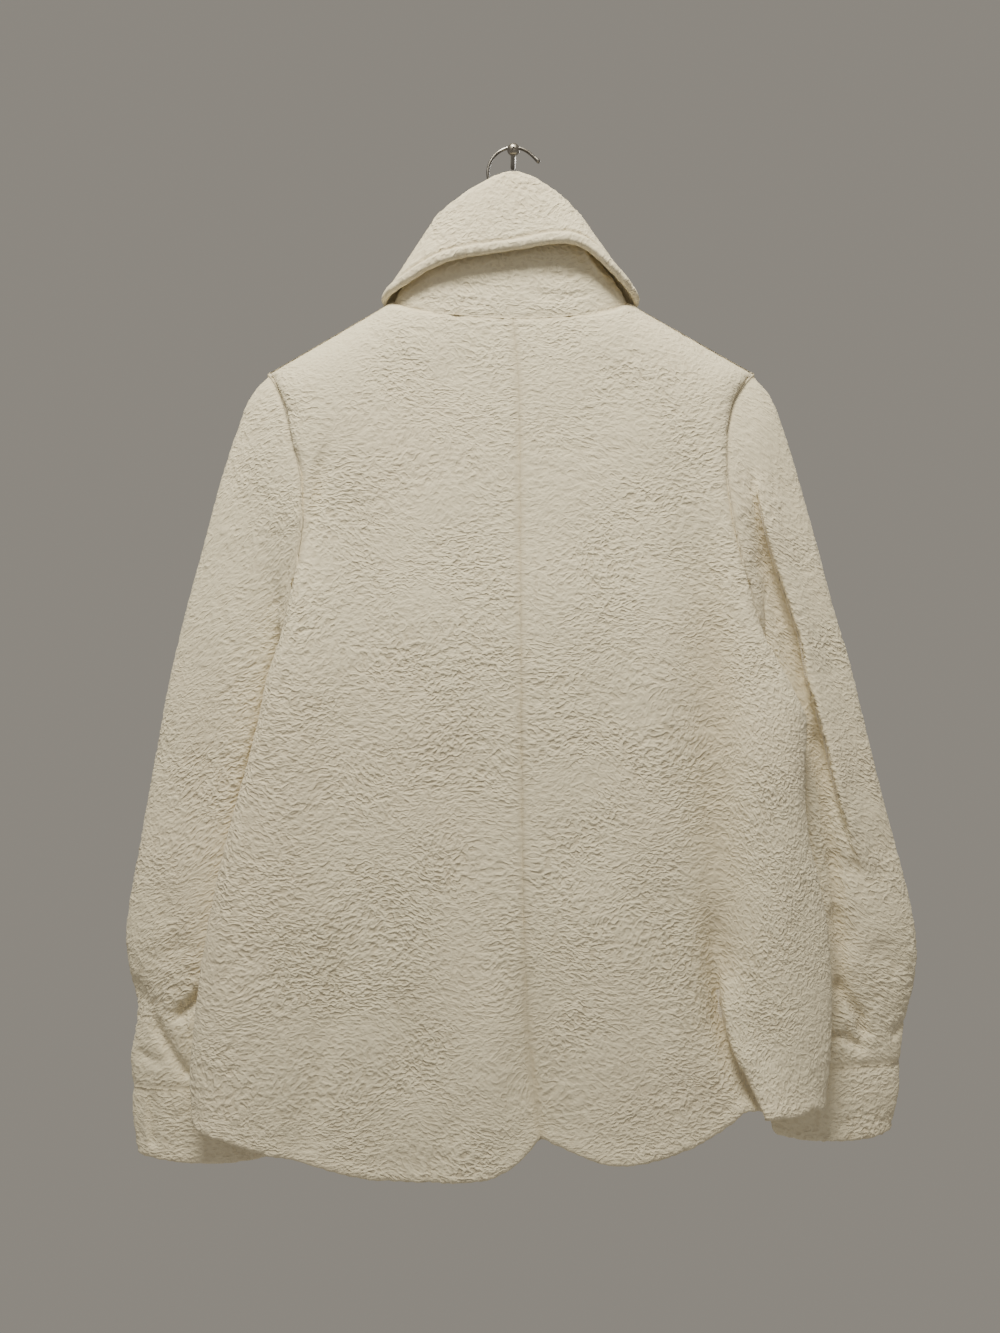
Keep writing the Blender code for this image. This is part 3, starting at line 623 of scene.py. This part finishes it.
def new_group(name, inputs, outputs):
    """A shader node group; inputs and outputs give each socket's kind by its name."""
    tree = bpy.data.node_groups.new(name, "ShaderNodeTree")
    for way, sockets in (("INPUT", inputs), ("OUTPUT", outputs)):
        for socket, kind in sockets.items():
            tree.interface.new_socket(name=socket, in_out=way, socket_type="NodeSocket" + kind)
    return tree, tree.nodes.new("NodeGroupInput").outputs, tree.nodes.new("NodeGroupOutput").inputs


def object_place(tree):
    return tree.nodes.new("ShaderNodeTexCoord").outputs["Object"]


def pile_group():
    """Crinkled pile: worm-like ridges and small clumps along the grain, with fine fibres, and a
    mask for painted shade in its crevices.
    """
    tree, given, out = new_group(
        "crinkled_pile", {"Place": "Vector", "Relief": "Float"},
        {"Height": "Float", "Crevice_Shade": "Float", "Patch": "Float"})
    wander = put(tree, "ShaderNodeTexNoise", Vector=given["Place"], Scale=42.0, Detail=1.0)
    place = put(tree, "ShaderNodeVectorMath", {"operation": "MULTIPLY_ADD"},
                n0=wander.outputs["Color"], n1=(0.006, 0.006, 0.006), n2=given["Place"]).outputs[0]
    level = noise_texture(tree, place, Scale=230.0, Detail=0.0)
    from_ridge = maths(tree, "ABSOLUTE", maths(tree, "MULTIPLY_ADD", level, 2.0, -1.0))
    clumps = noise_texture(tree, place, Scale=350.0, Detail=1.0)
    both = maths(tree, "MULTIPLY_ADD", spread(tree, clumps, 0.34, 0.62), 0.5,
                 maths(tree, "MULTIPLY", spread(tree, from_ridge, 0.0, 0.38, 1.0, 0.0), 0.5))
    fibres = noise_texture(tree, place, Scale=1300.0, Detail=2.0)
    patch = noise_texture(tree, given["Place"], Scale=24.0, Detail=2.0)
    strength = maths(tree, "MULTIPLY", given["Relief"], spread(tree, patch, 0.3, 0.7, 0.6, 1.1))
    raised = maths(tree, "MULTIPLY", both, strength)
    # painted shade: the lower the pile, the darker
    crevice_shade = maths(tree, "MULTIPLY", spread(tree, both, 0.05, 0.6, 1.0, 0.0), strength)
    tree.links.new(maths(tree, "MULTIPLY_ADD", fibres, 0.12, raised), out["Height"])
    tree.links.new(crevice_shade, out["Crevice_Shade"])
    tree.links.new(patch, out["Patch"])
    return tree


def wear_group():
    """Cloudy wear: a slow cloud and fine marks, for metal and moulded plastic."""
    tree, given, out = new_group("wear", {"Size": "Float"}, {"Cloud": "Float", "Marks": "Float"})
    place = object_place(tree)
    cloud = noise_texture(tree, place, Scale=given["Size"], Detail=4.0, Roughness=0.6)
    long_way = put(tree, "ShaderNodeMapping", Vector=place, Scale=(1.0, 1.0, 0.18)).outputs[0]
    fine = maths(tree, "MULTIPLY", given["Size"], 14.0)
    marks = noise_texture(tree, long_way, Scale=fine, Detail=3.0)
    tree.links.new(spread(tree, cloud, 0.35, 0.7), out["Cloud"])
    tree.links.new(spread(tree, marks, 0.3, 0.75), out["Marks"])
    return tree


def new_finish(name, **values):
    """A material, its tree and its shader, with plain values on the shader's own sockets."""
    finish = bpy.data.materials.new(name)
    finish.use_nodes = True
    tree = finish.node_tree
    shader = tree.nodes["Principled BSDF"]
    for socket, value in values.items():
        shader.inputs[socket.replace("_", " ")].default_value = value
    return finish, tree, shader


def attribute(tree, name, output="Fac"):
    return put(tree, "ShaderNodeAttribute", {"attribute_name": name}).outputs[output]


def bumped(tree, shader, height, distance):
    bump = put(tree, "ShaderNodeBump", Height=height, Distance=distance)
    tree.links.new(bump.outputs[0], shader.inputs["Normal"])


def sherpa_finish(pile, ivory, shade, warm):
    """The pile side: painted shade in its crevices, seams, stitch lines and hollows, with warmer
    patches.
    """
    finish, tree, shader = new_finish(
        "sherpa_pile", Roughness=0.92, Specular_IOR_Level=0.2, Sheen_Weight=0.22,
        Sheen_Roughness=0.45, Sheen_Tint=(1.0, 0.97, 0.9, 1.0))
    relief, groove_and_painted_shade = attribute(tree, "relief"), attribute(tree, "groove_and_painted_shade")
    fur = placed(tree, pile, Place=attribute(tree, "pile_place", "Vector"), Relief=relief)
    # painted shade in the pile's crevices
    colour = blended(tree, maths(tree, "MULTIPLY", fur["Crevice_Shade"], 0.42), ivory, shade)
    tint = noise_texture(tree, object_place(tree), Scale=6.0, Detail=2.0)
    colour = blended(tree, spread(tree, tint, 0.42, 0.68, 0.0, 0.22), colour, warm)
    # painted shade along seams, stitch lines and deep creases
    colour = blended(tree, maths(tree, "MULTIPLY", groove_and_painted_shade, 0.5), colour, shade)
    tree.links.new(colour, shader.inputs["Base Color"])
    bumped(tree, shader, fur["Height"], 0.0009)
    return finish


def reverse_finish(colour_high, colour_low):
    """Knitted backing: rows of small loops with a fine fuzz."""
    finish, tree, shader = new_finish(
        "sherpa_reverse", Roughness=0.95, Specular_IOR_Level=0.2, Sheen_Weight=0.1)
    where = object_place(tree)
    wales, rows = (
        put(tree, "ShaderNodeTexWave", {"bands_direction": way}, Vector=where, Scale=scale,
            Distortion=distortion, Detail=1.0).outputs["Fac"]
        for way, scale, distortion in (("X", 160.0, 1.2), ("Z", 200.0, 1.6)))
    fuzz = noise_texture(tree, where, Scale=420.0, Detail=3.0)
    knit = maths(tree, "MULTIPLY_ADD", rows, 0.5, maths(tree, "MULTIPLY_ADD", fuzz, 0.5, wales))
    cloud = noise_texture(tree, where, Scale=9.0, Detail=2.0)
    colour = blended(tree, spread(tree, knit, 0.4, 1.5), colour_low, colour_high)
    colour = blended(tree, spread(tree, cloud, 0.4, 0.7, 0.0, 0.25), colour, colour_low)
    tree.links.new(colour, shader.inputs["Base Color"])
    bumped(tree, shader, knit, 0.0003)
    return finish


def steel_finish(wear, name, bright, dull):
    """Worn steel: duller and rougher in its cloudy places."""
    finish, tree, shader = new_finish(name, Metallic=1.0)
    worn = placed(tree, wear, Size=90.0)
    tree.links.new(blended(tree, worn["Cloud"], bright, dull), shader.inputs["Base Color"])
    rough = maths(tree, "MULTIPLY_ADD", worn["Cloud"], 0.16,
                  maths(tree, "MULTIPLY_ADD", worn["Marks"], 0.1, 0.24))
    tree.links.new(rough, shader.inputs["Roughness"])
    bumped(tree, shader, worn["Marks"], 0.00002)
    return finish


def plastic_finish(wear):
    """Satin black moulded plastic."""
    finish, tree, shader = new_finish("moulded_black")
    worn = placed(tree, wear, Size=40.0)
    colour = blended(tree, worn["Cloud"], (0.018, 0.018, 0.02), (0.035, 0.035, 0.037))
    tree.links.new(colour, shader.inputs["Base Color"])
    tree.links.new(maths(tree, "MULTIPLY_ADD", worn["Cloud"], 0.15, 0.38),
                   shader.inputs["Roughness"])
    bumped(tree, shader, worn["Marks"], 0.00004)
    return finish


# ---- hook and screw, in millimetres -----------------------------------------------------------
FINE_MERGE = 0.005         # corners nearer than this are one
CROSS_LONG, CROSS_THIN, CROSS_DEEP = 5.6, 1.15, 3.2
CROSS_Y, CROSS_TIP, CROSS_TURN = -34.4, 0.45, radians(24)   # its middle, its tip's share, its turn


def smooth_hook(name):
    """The hook's wire, rounder than the solid."""
    bm = bmesh.new()
    bm.from_mesh(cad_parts[name].data)
    bmesh.ops.remove_doubles(bm, verts=bm.verts, dist=FINE_MERGE * MM)
    bmesh.ops.join_triangles(bm, faces=bm.faces, angle_face_threshold=radians(30),
                             angle_shape_threshold=pi)
    for face in bm.faces:
        face.smooth = True
    piece = made(bm, name + "_wire")
    rounder = piece.modifiers.new("rounder", "SUBSURF")
    rounder.levels = rounder.render_levels = 2
    bake(piece)
    return piece


def turned(name, profile, steps):
    """A profile of (radius, y) in millimetres, turned about the Y axis."""
    bm = bmesh.new()
    points = [bm.verts.new((radius * MM, y * MM, 0)) for radius, y in profile]
    edges = [bm.edges.new(pair) for pair in zip(points, points[1:])]
    bmesh.ops.spin(bm, geom=points + edges, cent=(0, 0, 0), axis=(0, 1, 0), angle=2 * pi,
                   steps=steps, use_merge=True)
    bmesh.ops.remove_doubles(bm, verts=bm.verts, dist=FINE_MERGE * MM)
    bmesh.ops.recalc_face_normals(bm, faces=bm.faces)
    return made(bm, name)


def cross_cutter():
    """A cross that tapers into the screw's head."""
    bm = bmesh.new()
    for wide, tall in ((CROSS_LONG, CROSS_THIN), (CROSS_THIN, CROSS_LONG)):
        bar = bmesh.ops.create_cube(bm, size=1.0)["verts"]
        bmesh.ops.scale(bm, vec=(wide * MM, CROSS_DEEP * MM, tall * MM), verts=bar)
        bmesh.ops.translate(bm, vec=(0, CROSS_Y * MM, 0), verts=bar)
        tip = [corner for corner in bar if corner.co.y > CROSS_Y * MM]
        bmesh.ops.scale(bm, vec=(CROSS_TIP, 1, CROSS_TIP), verts=tip)
    bmesh.ops.rotate(bm, cent=(0, 0, 0), verts=bm.verts,
                     matrix=Matrix.Rotation(CROSS_TURN, 3, "Y"))
    return made(bm, "cutter")


def round_head_screw():
    """Round head with a cross recess, on a plain shaft with a flat end."""
    shaft = [(0, 0), (2.2, 0), (2.2, -29.6), (2.5, -30.0), (5.1, -30.0), (5.35, -30.25)]
    head = [(5.4 * cos(angle), -30.3 - 4.3 * sin(angle))
            for angle in (pi / 2 * step / 12 for step in range(1, 13))]
    screw = turned("round_head_screw", shaft + head, 40)
    cutter = cross_cutter()
    recess = screw.modifiers.new("recess", "BOOLEAN")
    recess.object, recess.operation, recess.solver = cutter, "DIFFERENCE", "EXACT"
    recess.use_self = True
    edge = screw.modifiers.new("edge", "BEVEL")
    edge.width, edge.segments, edge.limit_method = 0.12 * MM, 2, "ANGLE"
    edge.angle_limit = radians(38)
    bake(screw)
    bpy.data.objects.remove(cutter, do_unlink=True)
    for face in screw.data.polygons:
        face.use_smooth = True
    return screw


# ---- the jacket -------------------------------------------------------------------------------
# Flat cut of each piece, in metres: the width and length that it takes up, and its own area. The
# collar's pieces show their pile on both sides.
Cut = namedtuple("Cut", "node middle_y tube both_sides width length area rests_on")
BODY, ARM = BODY_MIDDLE_Y, SLEEVE_MIDDLE_Y
CUTS = [
    Cut("back_left", BODY, False, False, 0.31, 0.735, 0.166, ["hanger_body", "collar_stand"]),
    Cut("back_right", BODY, False, False, 0.29, 0.72, 0.155, ["hanger_body", "collar_stand"]),
    Cut("front_left", BODY, False, False, 0.31, 0.715, 0.167, ["hanger_body", "back_left"]),
    Cut("front_right", BODY, False, False, 0.31, 0.705, 0.168, ["hanger_body", "back_right"]),
    Cut("sleeve_left", ARM, True, False, 0.30, 0.61, 0.142, ["back_left"]),
    Cut("sleeve_right", ARM, True, False, 0.28, 0.595, 0.128, ["back_right"]),
    Cut("cuff_left", ARM, True, False, 0.26, 0.063, 0.0155, ["sleeve_left"]),
    Cut("cuff_right", ARM, True, False, 0.25, 0.064, 0.0145, ["sleeve_right"]),
    Cut("collar_stand", ARM, False, True, 0.40, 0.085, 0.032, ["back_left"]),
    Cut("collar_fall", ARM, False, True, 0.36, 0.085, 0.0275, ["collar_stand"]),
]

cloth_trees = {cut.node: BVHTree.FromBMesh(paired_solid(cut.node)) for cut in CUTS}
rims = {cut.node: solid_rims(cut) for cut in CUTS}
pile = pile_group()
wear = wear_group()
ivory_pile = sherpa_finish(pile, (0.88, 0.81, 0.62), (0.60, 0.52, 0.37), (0.88, 0.76, 0.58))
ivory_reverse = reverse_finish((0.80, 0.745, 0.64), (0.66, 0.60, 0.50))
walls = {}
for cut in CUTS:
    gap = STAND_GAP if cut.node == "collar_stand" else SEWN_GAP
    sewn = [sewn_at(cut.node, point, gap) for point in rims[cut.node]]
    seams = [point for point, here in zip(rims[cut.node], sewn) if here]
    free_edges = [point for point, here in zip(rims[cut.node], sewn) if not here]
    wall = walls[cut.node] = fine_wall(cut, tree_of(seams))
    dress(wall, cut.node, seams, free_edges)
    for finish in (ivory_pile, ivory_pile if cut.both_sides else ivory_reverse, ivory_pile):
        wall.data.materials.append(finish)
    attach(wall, "root")
    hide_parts(cut.node)

dark_steel = steel_finish(wear, "dark_steel", (0.30, 0.29, 0.28), (0.12, 0.11, 0.10))
worn_steel = steel_finish(wear, "worn_steel", (0.42, 0.40, 0.37), (0.16, 0.14, 0.12))
for piece, node, finish in ((smooth_hook("hanger_hook"), "hanger_hook", dark_steel),
                            (round_head_screw(), "wall_screw", worn_steel)):
    piece.data.materials.append(finish)
    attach(piece, "root")
    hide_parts(node)
black = plastic_finish(wear)
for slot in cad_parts["hanger_body"].material_slots:
    slot.link = "OBJECT"
    slot.material = black


# ---- floor, light and camera ------------------------------------------------------------------
def area_light(name, place, aim, size, power, colour):
    data = bpy.data.lights.new(name, "AREA")
    data.shape, data.size, data.energy, data.color = "DISK", size, power, colour
    light = link(bpy.data.objects.new(name, data))
    light.location = place
    light.rotation_euler = (Vector(aim) - Vector(place)).to_track_quat("-Z", "Y").to_euler()


def pale_floor():
    bm = bmesh.new()
    bmesh.ops.create_circle(bm, cap_ends=True, radius=1.1, segments=96)
    bmesh.ops.translate(bm, vec=(0, 0, -1.9), verts=bm.verts)
    floor = made(bm, "floor")
    finish = new_finish("pale_floor", Base_Color=(0.55, 0.53, 0.50, 1), Roughness=0.8)[0]
    floor.data.materials.append(finish)


pale_floor()
area_light("softbox_above", (-0.15, -0.70, 1.05), (0, 0, -0.42), 0.55, 41.5, (1.0, 0.94, 0.77))
area_light("fill_front", (0.2, -2.6, 0.2), (0, 0, -0.45), 2.0, 2, (1.0, 0.97, 0.92))
area_light("softbox_rear", (0.5, 1.5, 0.7), (0, 0, -0.45), 0.7, 12, (1.0, 0.97, 0.92))
world = bpy.data.worlds.new("plain_studio")
world.use_nodes = True
background = world.node_tree.nodes["Background"]
background.inputs["Color"].default_value = (0.40, 0.37, 0.32, 1)
background.inputs["Strength"].default_value = 0.69
bpy.context.scene.world = world

camera_data = bpy.data.cameras.new("camera")
camera_data.sensor_width, camera_data.lens = 36.0, 27.0
camera = link(bpy.data.objects.new("camera", camera_data))
camera.location = (-0.0114, -0.880, -0.439)
camera.rotation_euler = (pi / 2, 0, 0)
bpy.context.scene.camera = camera
